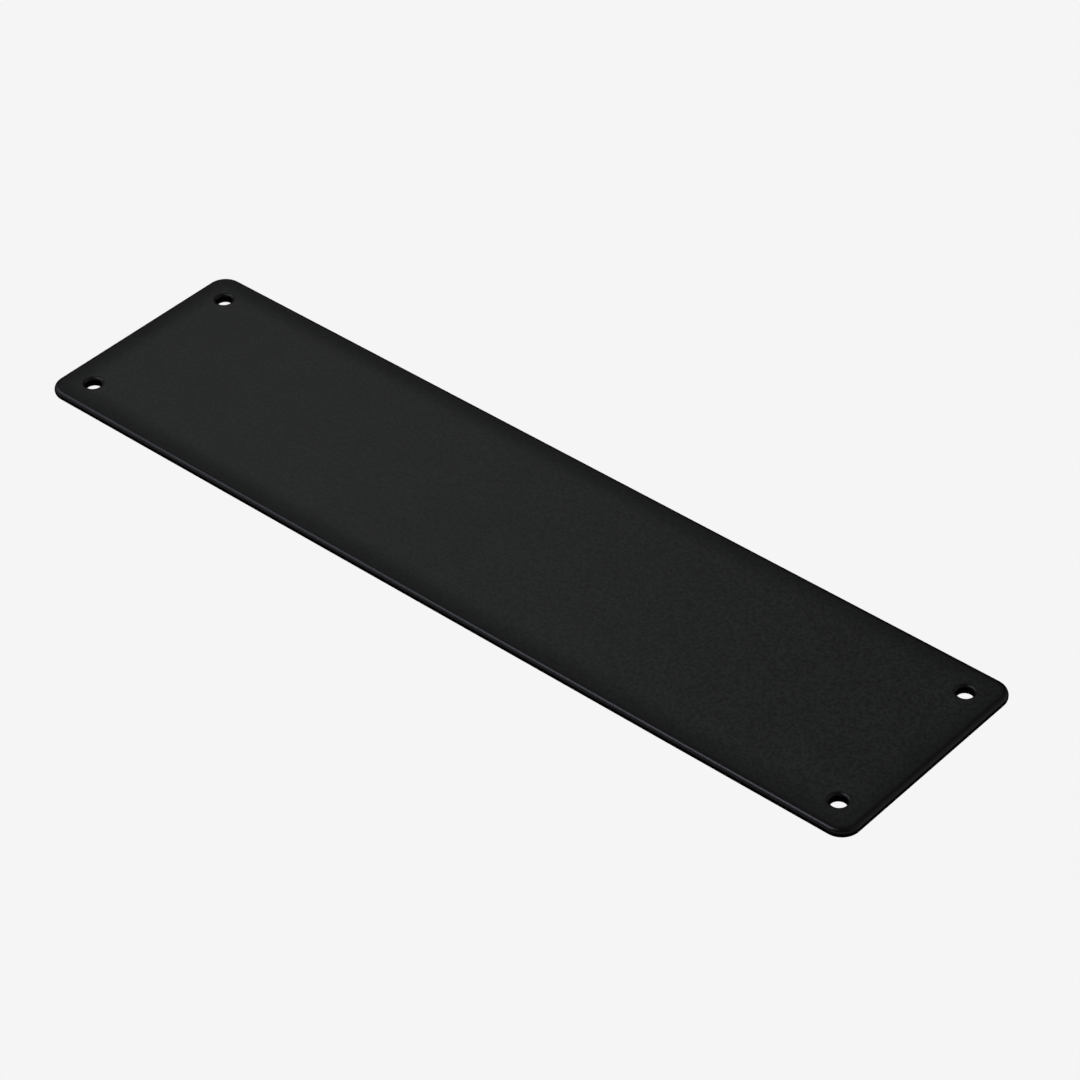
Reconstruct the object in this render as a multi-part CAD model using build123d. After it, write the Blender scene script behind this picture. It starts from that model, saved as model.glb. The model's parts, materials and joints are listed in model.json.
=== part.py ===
"""A kick plate: one flat steel plate with rounded corners and a screw hole near each corner.

The plate lies on its back. The origin is the centre of the back face, the one that goes
against the door. +X runs along the length, +Y across the width, and +Z out of the front face.
All sizes are in millimetres and are those of the finished plate, with its coating on.
"""

import os

from build123d import *

# The blank
LENGTH = 300.0
WIDTH = 75.0
THICKNESS = 3.0
CORNER_RADIUS = 6.0
EDGE_RADIUS = 1.4  # rounding all along the outline, on the front and on the back

# The screw holes: 5 mm in the bare steel, less the coating on their walls
HOLE_DIAMETER = 4.8
HOLE_INSET = 10.0  # from a hole's centre to each of the two edges beside it
FRONT_RIM_RADIUS = 0.9  # rounding of each hole's rim on the front, where the screw goes in
BACK_RIM_RADIUS = 0.4  # and on the back, which is only deburred

HOLE_SPACING_X = LENGTH - 2 * HOLE_INSET
HOLE_SPACING_Y = WIDTH - 2 * HOLE_INSET


def blank():
    """The sheet cut to its outline, with the edges of both faces rounded over."""
    sheet = extrude(RectangleRounded(LENGTH, WIDTH, CORNER_RADIUS), THICKNESS)
    outline = sheet.faces().filter_by(Axis.Z).edges()
    return fillet(outline, EDGE_RADIUS)


def is_full_circle(edge):
    return edge.geom_type == GeomType.CIRCLE and edge.is_closed


def drilled(plate):
    """The plate with a screw hole near each corner, each hole's two rims rounded over."""
    bit = Cylinder(HOLE_DIAMETER / 2, THICKNESS, align=(Align.CENTER, Align.CENTER, Align.MIN))
    pierced = plate - GridLocations(HOLE_SPACING_X, HOLE_SPACING_Y, 2, 2) * bit
    front_rims = pierced.edges().filter_by(is_full_circle).group_by(Axis.Z)[-1]
    front_rounded = fillet(front_rims, FRONT_RIM_RADIUS)
    back_rims = front_rounded.edges().filter_by(is_full_circle).group_by(Axis.Z)[0]
    return fillet(back_rims, BACK_RIM_RADIUS)


def main():
    os.makedirs("parts", exist_ok=True)
    export_step(drilled(blank()), "parts/kick_plate.step")


main()
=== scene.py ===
import json
import math

import bmesh
import bpy
import numpy as np
from mathutils import Matrix, Vector


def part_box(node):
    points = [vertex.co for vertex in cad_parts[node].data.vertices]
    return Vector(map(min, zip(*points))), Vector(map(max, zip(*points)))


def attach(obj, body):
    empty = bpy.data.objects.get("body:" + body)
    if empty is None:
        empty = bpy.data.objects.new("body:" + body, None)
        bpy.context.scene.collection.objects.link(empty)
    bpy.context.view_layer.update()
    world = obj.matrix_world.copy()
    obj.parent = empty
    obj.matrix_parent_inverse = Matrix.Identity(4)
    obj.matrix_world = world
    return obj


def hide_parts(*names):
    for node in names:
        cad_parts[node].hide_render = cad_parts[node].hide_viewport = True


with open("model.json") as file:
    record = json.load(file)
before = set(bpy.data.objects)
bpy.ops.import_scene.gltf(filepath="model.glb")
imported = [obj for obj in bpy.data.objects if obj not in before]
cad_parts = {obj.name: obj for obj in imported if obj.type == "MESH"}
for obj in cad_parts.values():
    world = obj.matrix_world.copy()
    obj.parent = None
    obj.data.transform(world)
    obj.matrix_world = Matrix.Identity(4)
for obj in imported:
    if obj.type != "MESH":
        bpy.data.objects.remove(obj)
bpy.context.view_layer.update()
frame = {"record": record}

MM = 0.001
NODE = "kick_plate"

# The plate, from its box and its screw pattern. Its roundings are the CAD model's.
plate_low, plate_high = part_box(NODE)
LENGTH = plate_high.x - plate_low.x
WIDTH = plate_high.y - plate_low.y
THICKNESS = plate_high.z - plate_low.z
PATTERN = next(m for m in frame["record"]["mounts"] if m["name"] == "screw_holes")["dims"]
HOLE_RADIUS = PATTERN["hole_r_mm"] * MM
HOLE_X = PATTERN["spacing_x_mm"] * MM / 2
HOLE_Y = PATTERN["spacing_y_mm"] * MM / 2
CORNER_RADIUS = 6.0 * MM
EDGE_RADIUS = 1.4 * MM
FRONT_RIM_RADIUS = 0.9 * MM
BACK_RIM_RADIUS = 0.4 * MM

# How finely the mesh is cut
CORNER_STEPS = 20  # along each corner of the outline
EDGE_STEPS = 10  # across each rounded edge
RIM_STEPS = 8  # across each rounded hole rim
HOLE_SIDE_STEPS = 14  # along each side of the square around a hole, so four times that round it
FACE_STEP = 4.0 * MM  # between the lines across the open middle of a face
EDGE_RINGS = (CORNER_RADIUS, 4.2 * MM, 2.8 * MM, 1.9 * MM)  # rings on the flat, by inset
HOLE_RINGS = (0.0, 0.4, 0.75)  # rings round a hole, as shares of the way from its square to its rim
WELD = 0.001 * MM  # points closer than this are joined

# The camera, which stands in front of the long -Y edge and to the right. Its angles are in degrees,
# its distances in metres and its lens in millimetres.
VIEW_AZIMUTH = 42.34
VIEW_ELEVATION = 39.48
VIEW_ROLL = -1.60
VIEW_DISTANCE = 1.0694
VIEW_RIGHT = 0.00954  # how far the camera is moved to its right of the plate's centre
VIEW_UP = -0.00196
LENS = 126.15

# The painted-shade black along the outline and in the holes, and the coating's colour on the open
# face
PAINTED_SHADE_BLACK = (0.0015, 0.0015, 0.0015)
COAT_OPEN = (0.0272, 0.0288, 0.0250)

# Painted shade along the outline, round the holes and in a darker border, and a duller border. Each
# fades out between two distances, in millimetres from the outline or from a hole's wall.
OUTLINE_SHADE_SPAN = (1.2, 2.6)
HOLE_SHADE_SPAN = (0.4, 1.4)
# Painted shade: a darker border inside the outline, fading out between these distances
BORDER_SHADE_SPAN = (0.5, 11.0)
BORDER_SHADE_SHARE = 0.44  # the grey at its outer side, as a share of the open face's
DULL_BORDER = (1.2, 9.0)
DULLER = 0.13  # how much rougher its outer side is than the open face

# The coating's texture: grains of powder, wider dimples like orange peel, and clouding
GRAIN_SIZE = 0.9 * MM
PEEL_SIZE = 1.6 * MM
CLOUD_SIZE = 14 * MM
NOISE_SPAN = (0.3, 0.7)  # nearly all noise lies in this span, and is stretched from it
GRAIN_GREY = (0.5, 1.5)  # what the grains multiply the grey by, from the darkest to the palest
CLOUD_GREY = (0.94, 1.06)
GRAIN_ROUGHNESS = (0.31, 0.37)
RELIEF = 0.03 * MM  # the height of the dimples, if their noise ran all the way from 0 to 1
GRAIN_RELIEF = 0.6  # the height of the grains, as a share of the dimples'

# The room's brightness, by direction from the plate. A pair is two values of one component of the
# direction, between which a side fades. A reach is the cosine of the angle at which a round patch
# has faded out.
PALE = 0.913  # the floor and the backdrop, as the camera sees them
SWEEP = 0.42  # all round, low down
SWEEP_BOTTOM = (-0.25, 0.15)  # Z
SWEEP_TOP = (0.15, 0.40)  # Z
BELOW_SWEEP = 0.005
ABOVE_SWEEP = 0.09  # as a share of the sweep
SHADE_TOWARD = (-0.60, 0.80, 0.00)  # where the sweep fades to nothing, behind the plate
SHADE_REACH = 0.35
GLOW = 0.74  # like a window, high behind the plate at the left
GLOW_LEFT = (-0.74, -0.62)  # X
GLOW_RIGHT = (-0.63, -0.40)  # X
GLOW_NEAR = (0.36, 0.50)  # Y
GLOW_LOW = (0.46, 0.58)  # Z
RIGHT_OF_GLOW = 0.03  # as a share of the glow
FILL = 0.15  # weak, high behind the plate at the right
FILL_TOWARD = (0.50, 0.55, 0.67)
FILL_REACH = 0.62

# The softboxes
SOFTBOX_DISTANCE = 1.2
KEY_TOWARD = (-0.58, -0.36, 0.73)
RIM_TOWARD = (-0.25, -0.42, 0.87)
SIDE_TOWARD = (-0.79, -0.03, 0.60)
KEY_TINT = (0.84, 0.88, 1.0)
COOL_TINT = (0.82, 0.84, 1.0)
OPEN_SPREAD = 180  # how wide a beam opens, in degrees
GRID_SPREAD = 50
RIGHT_END = (LENGTH / 2, 0, 0)


# ---------------------------------------------------------------- the plate's mesh


def outline():
    """The outline's stations: points on the rectangle between the corner arcs' centres, and
    the outward direction at each. A ring at any inset is point + (radius left) * direction."""
    half_x = LENGTH / 2 - CORNER_RADIUS
    half_y = WIDTH / 2 - CORNER_RADIUS
    sides = (
        (grid_lines(HOLE_X, half_x), lambda t: (t, -half_y)),
        (grid_lines(HOLE_Y, half_y), lambda t: (half_x, t)),
        (grid_lines(HOLE_X, half_x), lambda t: (-t, half_y)),
        (grid_lines(HOLE_Y, half_y), lambda t: (-half_x, -t)),
    )
    points, directions = [], []
    for side, (lines, place) in enumerate(sides):
        facing = math.radians(90 * (side - 1))
        for t in lines:
            points.append(place(t))
            directions.append((math.cos(facing), math.sin(facing)))
        for step in range(1, CORNER_STEPS):
            angle = facing + math.radians(90 * step / CORNER_STEPS)
            points.append(place(lines[-1]))
            directions.append((math.cos(angle), math.sin(angle)))
    return np.array(points), np.array(directions)


def grid_lines(hole, half):
    """Where the face's grid lines lie from -half to half: fine beside the holes, wider between."""
    near = hole - (half - hole)
    middle_steps = round(2 * near / FACE_STEP)
    return np.concatenate(
        (
            np.linspace(-half, -near, HOLE_SIDE_STEPS, endpoint=False),
            np.linspace(-near, near, middle_steps, endpoint=False),
            np.linspace(near, half, HOLE_SIDE_STEPS + 1),
        )
    )


def rounded_profile(back_radius, front_radius, steps):
    """(inset, height) points from the back face round to the front face, over both roundings."""
    turn = np.linspace(0, math.pi / 2, steps + 1)
    inset = 1 - np.sin(turn)
    height = 1 - np.cos(turn)
    back = np.stack((back_radius * inset, back_radius * height), axis=1)
    front = np.stack((front_radius * inset, THICKNESS - front_radius * height), axis=1)
    return np.concatenate((back, front[::-1]))


def ring_patch(points, directions, radius, profile):
    """The skin swept round closed stations: one row of points for each profile point."""
    rows = []
    for inset, height in profile:
        ring = points + (radius - inset) * directions
        rows.append(np.column_stack((ring, np.full(len(ring), height))))
    patch = np.stack(rows)
    return np.concatenate((patch, patch[:, :1]), axis=1)


def edge_patch():
    """The outer skin, from the back face's core round the edge to the front face's core."""
    points, directions = outline()
    back = [(inset, 0.0) for inset in EDGE_RINGS]
    front = [(inset, THICKNESS) for inset in reversed(EDGE_RINGS)]
    profile = back + list(rounded_profile(EDGE_RADIUS, EDGE_RADIUS, EDGE_STEPS)) + front
    return ring_patch(points, directions, CORNER_RADIUS, profile)


def hole_patch(centre, half):
    """One hole: from the square around it on the front, over both rims, to the back's square.
    Half is half the square's side."""
    side = np.linspace(-half, half, HOLE_SIDE_STEPS, endpoint=False)
    ends = np.full(HOLE_SIDE_STEPS, half)
    square = np.concatenate(
        [
            np.stack(pair, axis=1)
            for pair in ((side, -ends), (ends, side), (-side, ends), (-ends, -side))
        ]
    )
    angle = np.linspace(0, 2 * math.pi, len(square), endpoint=False) - math.radians(135)
    circle = np.stack((np.cos(angle), np.sin(angle)), axis=1)
    front_rim = circle * (HOLE_RADIUS + FRONT_RIM_RADIUS)
    back_rim = circle * (HOLE_RADIUS + BACK_RIM_RADIUS)
    rows = []
    for share in HOLE_RINGS:
        rows.append((square * (1 - share) + front_rim * share, THICKNESS))
    for inset, height in rounded_profile(BACK_RIM_RADIUS, FRONT_RIM_RADIUS, RIM_STEPS)[::-1]:
        rows.append((circle * (HOLE_RADIUS + inset), height))
    for share in reversed(HOLE_RINGS):
        rows.append((square * (1 - share) + back_rim * share, 0.0))
    patch = np.stack(
        [np.column_stack((ring + centre, np.full(len(ring), height))) for ring, height in rows]
    )
    return np.concatenate((patch, patch[:, :1]), axis=1)


def face_patches(height):
    """The flat of one face inside the edge's skin, apart from the squares around the holes."""
    half_x = LENGTH / 2 - CORNER_RADIUS
    half_y = WIDTH / 2 - CORNER_RADIUS
    x_lines = grid_lines(HOLE_X, half_x)
    y_lines = grid_lines(HOLE_Y, half_y)
    n = HOLE_SIDE_STEPS
    blocks = (
        (x_lines[n:-n], y_lines),
        (x_lines[: n + 1], y_lines[n:-n]),
        (x_lines[-n - 1 :], y_lines[n:-n]),
    )
    for xs, ys in blocks:
        x, y = np.meshgrid(xs, ys)
        yield np.stack((x, y, np.full_like(x, height)), axis=2)


def add_patch(mesh, patch):
    """The quads of one grid of points."""
    rows, columns = patch.shape[:2]
    verts = [[mesh.verts.new(point) for point in row] for row in patch]
    for i in range(rows - 1):
        for j in range(columns - 1):
            mesh.faces.new((verts[i][j], verts[i][j + 1], verts[i + 1][j + 1], verts[i + 1][j]))


def plate_mesh():
    """The whole plate as one closed mesh of quads."""
    mesh = bmesh.new()
    add_patch(mesh, edge_patch())
    for height in (0.0, THICKNESS):
        for patch in face_patches(height):
            add_patch(mesh, patch)
    half = LENGTH / 2 - CORNER_RADIUS - HOLE_X
    for x in (-HOLE_X, HOLE_X):
        for y in (-HOLE_Y, HOLE_Y):
            add_patch(mesh, hole_patch(np.array((x, y)), half))
    bmesh.ops.remove_doubles(mesh, verts=mesh.verts, dist=WELD)
    bmesh.ops.recalc_face_normals(mesh, faces=mesh.faces)
    for face in mesh.faces:
        face.smooth = True
    data = bpy.data.meshes.new("plate")
    mesh.to_mesh(data)
    mesh.free()
    return data


def store_distances(data):
    """Stores two distances for each vertex, in millimetres along the face: in from the outline,
    and out from the nearest hole's wall."""
    at = np.array([v.co for v in data.vertices])
    x, y = np.abs(at[:, 0]), np.abs(at[:, 1])
    over_x = np.maximum(x - (LENGTH / 2 - CORNER_RADIUS), 0)
    over_y = np.maximum(y - (WIDTH / 2 - CORNER_RADIUS), 0)
    in_corner = (over_x > 0) & (over_y > 0)
    to_side = np.minimum(LENGTH / 2 - x, WIDTH / 2 - y)
    to_corner = CORNER_RADIUS - np.hypot(over_x, over_y)
    to_edge = np.where(in_corner, to_corner, to_side)
    to_hole = np.hypot(x - HOLE_X, y - HOLE_Y) - HOLE_RADIUS
    edge = data.attributes.new("edge_mm", "FLOAT", "POINT")
    edge.data.foreach_set("value", (to_edge / MM).astype(np.float32))
    hole = data.attributes.new("hole_mm", "FLOAT", "POINT")
    hole.data.foreach_set("value", (to_hole / MM).astype(np.float32))


# ---------------------------------------------------------------- the materials


class Nodes:
    """A short way to add shader nodes and link them."""

    def __init__(self, tree):
        self.tree = tree
        tree.nodes.clear()

    def add(self, kind, inputs=None, **settings):
        node = self.tree.nodes.new(kind)
        for name, value in settings.items():
            setattr(node, name, value)
        for name, value in (inputs or {}).items():
            if isinstance(value, bpy.types.NodeSocket):
                self.tree.links.new(value, node.inputs[name])
            else:
                node.inputs[name].default_value = value
        return node

    def noise(self, place, size, detail=2.0):
        """Noise from 0 to 1, whose features are about size metres across."""
        inputs = {"Vector": place, "Scale": 1 / size, "Detail": detail}
        return self.add("ShaderNodeTexNoise", inputs).outputs["Fac"]

    def remap(self, value, start, end, low, high):
        """Start and end are turned into low and high, with a smooth step between."""
        inputs = {"Value": value, "From Min": start, "From Max": end, "To Min": low, "To Max": high}
        step = self.add("ShaderNodeMapRange", inputs, interpolation_type="SMOOTHSTEP")
        return step.outputs["Result"]

    def math(self, operation, first, *others):
        """The values added or multiplied together, from the first to the last."""
        total = first
        for other in others:
            node = self.add("ShaderNodeMath", {0: total, 1: other}, operation=operation)
            total = node.outputs[0]
        return total


def coating():
    """Satin black powder coating, with painted shade: black along the outline and in the holes, and
    darker in a soft border. Duller in that border, very slightly greyer over the open face, with a
    fine texture all over."""
    material = bpy.data.materials.new("satin_black_powder_coating")
    material.use_nodes = True
    nodes = Nodes(material.node_tree)
    place = nodes.add("ShaderNodeTexCoord").outputs["Object"]
    edge = nodes.add("ShaderNodeAttribute", attribute_name="edge_mm").outputs["Fac"]
    hole = nodes.add("ShaderNodeAttribute", attribute_name="hole_mm").outputs["Fac"]

    # Grains of powder, wider dimples, and slow clouding where the coat varies
    grain = nodes.noise(place, GRAIN_SIZE)
    peel = nodes.noise(place, PEEL_SIZE, 1.0)
    cloud = nodes.noise(place, CLOUD_SIZE)

    # The share of grey: painted shade from the outline inwards and from each hole outwards, with
    # the grains and clouding
    outline_shade_band = nodes.remap(edge, *OUTLINE_SHADE_SPAN, 0.0, 1.0)
    border_shade = nodes.remap(edge, *BORDER_SHADE_SPAN, BORDER_SHADE_SHARE, 1.0)
    hole_shade = nodes.remap(hole, *HOLE_SHADE_SPAN, 0.0, 1.0)
    grainy = nodes.remap(grain, *NOISE_SPAN, *GRAIN_GREY)
    cloudy = nodes.remap(cloud, *NOISE_SPAN, *CLOUD_GREY)
    grey = nodes.math("MULTIPLY", outline_shade_band, border_shade, hole_shade, grainy, cloudy)

    # Sockets 6 and 7 are the painted-shade black and the open face's colour. Grey passes 1 in the
    # palest grains, so it isn't clamped.
    colours = {0: grey, 6: (*PAINTED_SHADE_BLACK, 1), 7: (*COAT_OPEN, 1)}
    mix = nodes.add("ShaderNodeMix", colours, data_type="RGBA", clamp_factor=False)

    # Satin, and duller in the border but not on the rounded edge
    satin = nodes.remap(grain, *NOISE_SPAN, *GRAIN_ROUGHNESS)
    duller = nodes.math("MULTIPLY", outline_shade_band, nodes.remap(edge, *DULL_BORDER, DULLER, 0.0))

    relief = nodes.math("ADD", peel, nodes.math("MULTIPLY", grain, GRAIN_RELIEF))
    bump = nodes.add("ShaderNodeBump", {"Height": relief, "Strength": 1.0, "Distance": RELIEF})

    surface = {
        "Base Color": mix.outputs[2],
        "Roughness": nodes.math("ADD", satin, duller),
        "IOR": 1.5,
        "Normal": bump.outputs["Normal"],
    }
    shader = nodes.add("ShaderNodeBsdfPrincipled", surface)
    nodes.add("ShaderNodeOutputMaterial", {"Surface": shader.outputs["BSDF"]})
    return material


def pale_floor():
    """The even glow of the light table under the plate."""
    material = bpy.data.materials.new("pale_floor")
    material.use_nodes = True
    nodes = Nodes(material.node_tree)
    glow = nodes.add("ShaderNodeEmission", {"Color": (1, 1, 1, 1), "Strength": PALE})
    nodes.add("ShaderNodeOutputMaterial", {"Surface": glow.outputs["Emission"]})
    return material


# ---------------------------------------------------------------- the object


def add_plate():
    """The coated plate, on the part's one body."""
    data = plate_mesh()
    store_distances(data)
    plate = bpy.data.objects.new("plate", data)
    bpy.context.scene.collection.objects.link(plate)
    data.materials.append(coating())
    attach(plate, "root")
    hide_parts(NODE)


# ---------------------------------------------------------------- the studio


def add_floor():
    """A pale light table well below the plate, lit from within, so it takes no shadow."""
    half = 6.0
    level = -0.5
    corners = ((-half, -half), (half, -half), (half, half), (-half, half))
    data = bpy.data.meshes.new("floor")
    data.from_pydata([(x, y, level) for x, y in corners], [], [(0, 1, 2, 3)])
    floor = bpy.data.objects.new("floor", data)
    bpy.context.scene.collection.objects.link(floor)
    data.materials.append(pale_floor())
    floor.visible_glossy = False
    floor.visible_diffuse = False


def add_surroundings():
    """A dim room for the plate to reflect, with a sweep, a glow and a fill. The camera itself sees
    only the pale backdrop."""
    world = bpy.data.worlds.new("studio")
    bpy.context.scene.world = world
    world.use_nodes = True
    nodes = Nodes(world.node_tree)
    direction = nodes.add("ShaderNodeTexCoord").outputs["Generated"]
    x, y, z = nodes.add("ShaderNodeSeparateXYZ", {"Vector": direction}).outputs

    def lobe(toward, reach, peak):
        """A round patch of the room, as strong as peak in its middle."""
        pair = {0: direction, 1: Vector(toward).normalized()}
        cosine = nodes.add("ShaderNodeVectorMath", pair, operation="DOT_PRODUCT").outputs["Value"]
        return nodes.remap(cosine, reach, 1.0, 0.0, peak)

    bottom = nodes.remap(z, *SWEEP_BOTTOM, BELOW_SWEEP, SWEEP)
    top = nodes.remap(z, *SWEEP_TOP, 1.0, ABOVE_SWEEP)
    unshaded = nodes.math("ADD", 1.0, lobe(SHADE_TOWARD, SHADE_REACH, -1.0))
    sweep = nodes.math("MULTIPLY", bottom, top, unshaded)

    left = nodes.remap(x, *GLOW_LEFT, 0.0, GLOW)
    right = nodes.remap(x, *GLOW_RIGHT, 1.0, RIGHT_OF_GLOW)
    near = nodes.remap(y, *GLOW_NEAR, 0.0, 1.0)
    low = nodes.remap(z, *GLOW_LOW, 0.0, 1.0)
    glow = nodes.math("MULTIPLY", left, right, near, low)

    room = nodes.math("ADD", sweep, glow, lobe(FILL_TOWARD, FILL_REACH, FILL))

    # Sockets 2 and 3 are what other rays see and what the camera's see
    seen = nodes.add("ShaderNodeLightPath").outputs["Is Camera Ray"]
    strength = nodes.add("ShaderNodeMix", {0: seen, 2: room, 3: PALE}, data_type="FLOAT").outputs[0]
    backdrop = nodes.add("ShaderNodeBackground", {"Color": (1, 1, 1, 1), "Strength": strength})
    nodes.add("ShaderNodeOutputWorld", {"Surface": backdrop.outputs["Background"]})


def add_softbox(name, toward, size, radiance, colour, aim=(0, 0, 0), spread=OPEN_SPREAD):
    """A square soft light in the direction toward. It faces the point aim, and looks as bright as
    radiance from there. A narrower spread is a grid in front of it."""
    light = bpy.data.lights.new(name, "AREA")
    light.shape = "SQUARE"
    light.size = size
    light.energy = radiance * math.pi * size * size * beam_share(spread)
    light.spread = math.radians(spread)
    light.color = colour
    lamp = bpy.data.objects.new(name, light)
    bpy.context.scene.collection.objects.link(lamp)
    lamp.location = Vector(toward).normalized() * SOFTBOX_DISTANCE
    lamp.rotation_euler = (lamp.location - Vector(aim)).to_track_quat("Z", "Y").to_euler()


def beam_share(spread):
    """The share of an open light's power that keeps a narrowed beam as bright along its axis."""
    if spread == OPEN_SPREAD:
        return 1.0
    half = math.radians(spread / 2)
    return math.sin(half) ** 2 - (half - math.sin(half) * math.cos(half)) / math.tan(half)


def add_camera():
    """The camera, which looks along -back, past the plate's centre by a little, and is rolled."""
    azimuth = math.radians(VIEW_AZIMUTH)
    elevation = math.radians(VIEW_ELEVATION)
    back = Vector(
        (
            math.sin(azimuth) * math.cos(elevation),
            -math.cos(azimuth) * math.cos(elevation),
            math.sin(elevation),
        )
    )
    turn = (-back).to_track_quat("-Z", "Y")
    turn.rotate(Matrix.Rotation(-math.radians(VIEW_ROLL), 4, -back).to_quaternion())
    data = bpy.data.cameras.new("camera")
    data.lens = LENS
    data.clip_start, data.clip_end = 0.01, 50.0
    camera = bpy.data.objects.new("camera", data)
    bpy.context.scene.collection.objects.link(camera)
    centre = (plate_low + plate_high) / 2
    camera.rotation_mode = "QUATERNION"
    camera.rotation_quaternion = turn
    right = turn @ Vector((1, 0, 0))
    up = turn @ Vector((0, 1, 0))
    camera.location = centre + back * VIEW_DISTANCE + right * VIEW_RIGHT + up * VIEW_UP
    bpy.context.scene.camera = camera


add_plate()
add_floor()
add_surroundings()
add_softbox("key", KEY_TOWARD, size=0.8, radiance=1.0, colour=KEY_TINT)
gridded = {"colour": COOL_TINT, "aim": RIGHT_END, "spread": GRID_SPREAD}
add_softbox("rim_light", RIM_TOWARD, size=0.46, radiance=4.6, **gridded)
add_softbox("side_light", SIDE_TOWARD, size=0.4, radiance=2.1, **gridded)
add_camera()
bpy.context.scene.view_settings.view_transform = "Standard"
